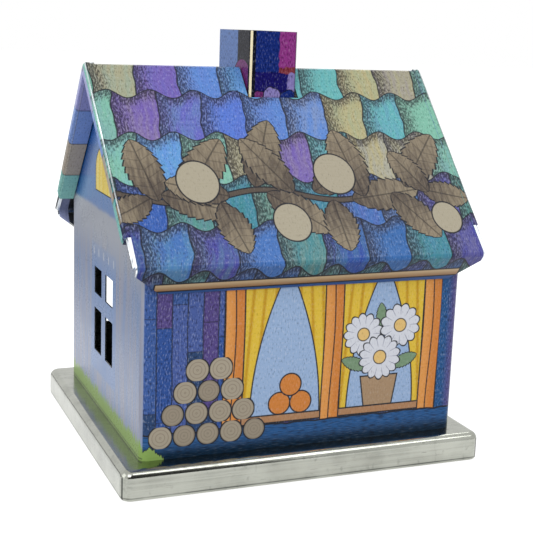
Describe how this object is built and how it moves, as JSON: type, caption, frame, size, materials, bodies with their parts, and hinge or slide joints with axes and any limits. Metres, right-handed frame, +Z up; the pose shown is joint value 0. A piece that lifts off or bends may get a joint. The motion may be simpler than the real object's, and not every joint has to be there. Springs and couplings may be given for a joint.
{
  "type": "tin money box",
  "caption": "House-shaped money box of folded printed tinplate: coins drop in by the open chimney, and the house lifts off its bare tin tray to empty it.",
  "frame": {"origin": "under the middle of the tray, on the surface that it stands on", "axes": "+Z up, -Y towards the front wall, X along the ridge"},
  "size_m": [0.108, 0.0966, 0.1214],
  "materials": {
    "tinplate": "bright bare tinplate with faint handling scratches",
    "wall_print": "glossy colour print on tinplate",
    "roof_print": "glossy colour print on tinplate",
    "chimney_print": "glossy colour print on tinplate"
  },
  "bodies": {
    "tray": {"base_tray": "tinplate", "locating_collar": "tinplate"},
    "house": {"wall_sheet": "wall_print", "roof_sheet": "roof_print", "chimney_tube": "chimney_print"}
  },
  "joints": [
    {"name": "house_lift", "type": "slide", "parent": "tray", "child": "house", "axis": [0, 0, 1], "range_m": [0, 0.06]}
  ]
}
